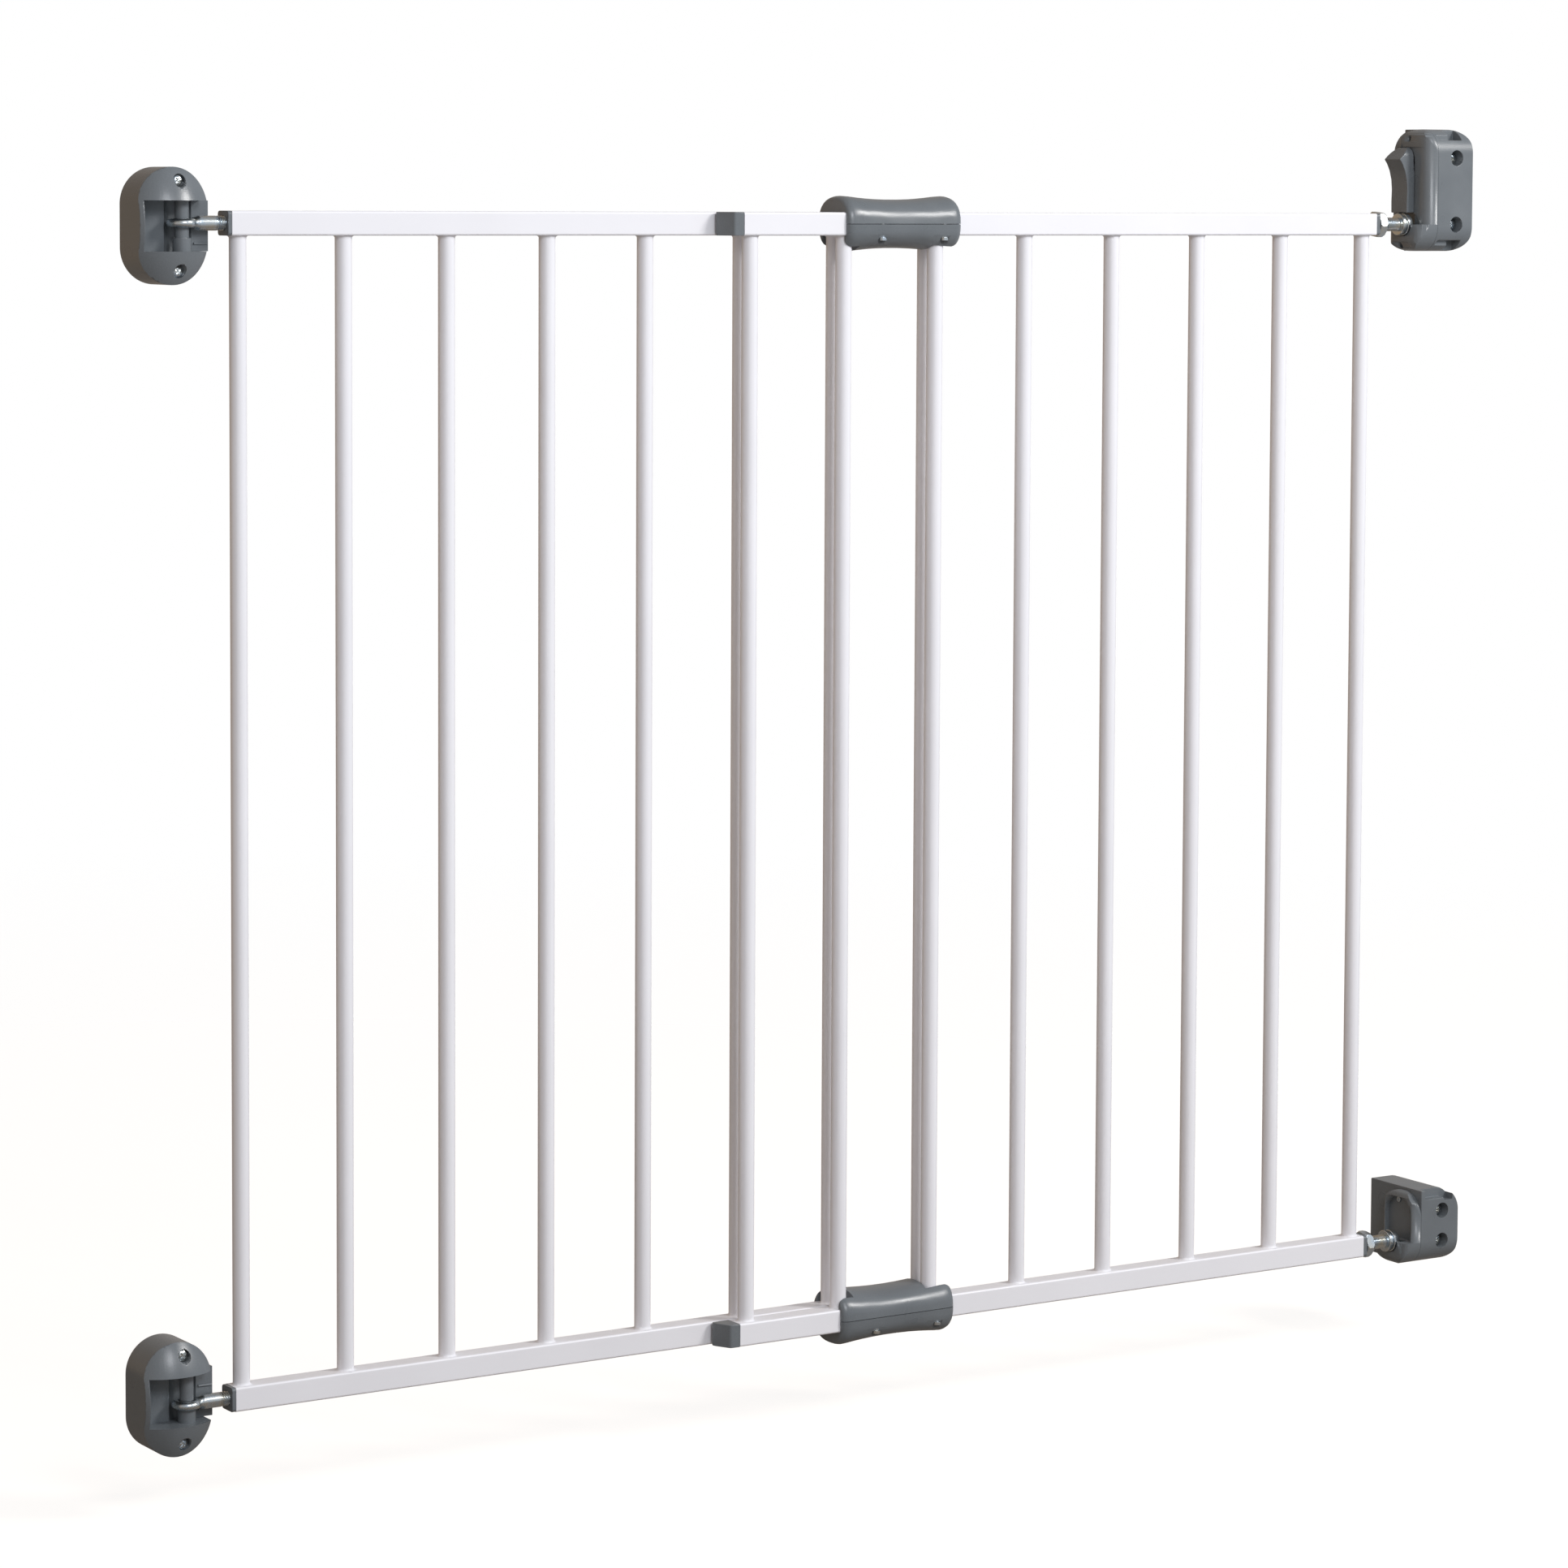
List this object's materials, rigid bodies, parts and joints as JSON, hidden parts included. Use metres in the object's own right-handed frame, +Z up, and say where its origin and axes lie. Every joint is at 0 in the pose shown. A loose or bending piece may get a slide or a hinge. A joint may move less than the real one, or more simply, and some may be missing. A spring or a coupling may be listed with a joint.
{
  "type": "safety gate",
  "caption": "Wall-mounted extending safety gate: two overlapping panels of round bars joined by clamps, lift-and-swing eye hinges, and a stud latch with a thumb slider.",
  "frame": {"origin": "centre of the lower hinge bracket's two wall screws, on the wall plane", "axes": "+X along the gate from hinge to latch, +Y into the wall, +Z up; the gate swings towards -Y"},
  "size_m": [1, 0.0676, 0.8117],
  "materials": {
    "white_powder_coat": "semi-gloss powder coat",
    "grey_plastic": "fine satin texture",
    "black_plastic": "satin",
    "zinc_plated_steel": "bright bluish zinc plating"
  },
  "bodies": {
    "wall_brackets": {"hinge_top_housing": "grey_plastic", "hinge_top_pin": "grey_plastic", "hinge_top_screws": "zinc_plated_steel", "hinge_bottom_housing": "grey_plastic", "hinge_bottom_pin": "grey_plastic", "hinge_bottom_screws": "zinc_plated_steel", "latch_top_block": "grey_plastic", "latch_top_cover": "grey_plastic", "latch_top_screws": "zinc_plated_steel", "latch_top_cover_screws": "zinc_plated_steel", "latch_bottom_block": "grey_plastic", "latch_bottom_cover": "grey_plastic", "latch_bottom_screws": "zinc_plated_steel", "latch_bottom_cover_screws": "zinc_plated_steel"},
    "latch_slider": {"latch_slider": "grey_plastic"},
    "eye_bushes": {"eye_top_bush": "black_plastic", "eye_bottom_bush": "black_plastic"},
    "gate": {"eye_bolt_top": "zinc_plated_steel", "eye_bolt_bottom": "zinc_plated_steel", "hinge_plug_top": "grey_plastic", "hinge_plug_bottom": "grey_plastic", "hinge_rail_top": "white_powder_coat", "hinge_rail_bottom": "white_powder_coat", "hinge_bar_1": "white_powder_coat", "hinge_bar_2": "white_powder_coat", "hinge_bar_3": "white_powder_coat", "hinge_bar_4": "white_powder_coat", "hinge_bar_5": "white_powder_coat", "hinge_bar_6": "white_powder_coat", "hinge_bar_7": "white_powder_coat", "hinge_bar_8": "white_powder_coat", "joiner_top_upper": "grey_plastic", "joiner_top_lower": "grey_plastic", "joiner_bottom_upper": "grey_plastic", "joiner_bottom_lower": "grey_plastic", "joiner_top_screws": "zinc_plated_steel", "joiner_bottom_screws": "zinc_plated_steel", "latch_rail_top": "white_powder_coat", "latch_rail_bottom": "white_powder_coat", "latch_bar_1": "white_powder_coat", "latch_bar_2": "white_powder_coat", "latch_bar_3": "white_powder_coat", "latch_bar_4": "white_powder_coat", "latch_bar_5": "white_powder_coat", "latch_bar_6": "white_powder_coat", "latch_bar_7": "white_powder_coat", "latch_bar_8": "white_powder_coat", "slide_cap_top": "grey_plastic", "slide_cap_bottom": "grey_plastic", "latch_plug_top": "grey_plastic", "latch_plug_bottom": "grey_plastic", "lock_nut_top": "zinc_plated_steel", "lock_nut_bottom": "zinc_plated_steel"},
    "stud_top": {"stud_top": "zinc_plated_steel"},
    "stud_bottom": {"stud_bottom": "zinc_plated_steel"}
  },
  "joints": [
    {"name": "gate_lift", "type": "slide", "parent": "wall_brackets", "child": "eye_bushes", "axis": [0, 0, 1], "range_m": [0, 0.0085]},
    {"name": "gate_swing", "type": "hinge", "parent": "eye_bushes", "child": "gate", "pos_m": [0.005, -0.022, 0], "axis": [0, 0, -1], "range_deg": [0, 90]},
    {"name": "latch_slide", "type": "slide", "parent": "wall_brackets", "child": "latch_slider", "axis": [0, 0, 1], "range_m": [0, 0.0085]},
    {"name": "stud_top_adjust", "type": "slide", "parent": "gate", "child": "stud_top", "axis": [1, 0, 0], "range_m": [-0.01, 0]},
    {"name": "stud_bottom_adjust", "type": "slide", "parent": "gate", "child": "stud_bottom", "axis": [1, 0, 0], "range_m": [-0.01, 0]}
  ],
  "couplings": [
    {"joint": "latch_slide", "follows": "gate_lift", "ratio": 1}
  ]
}
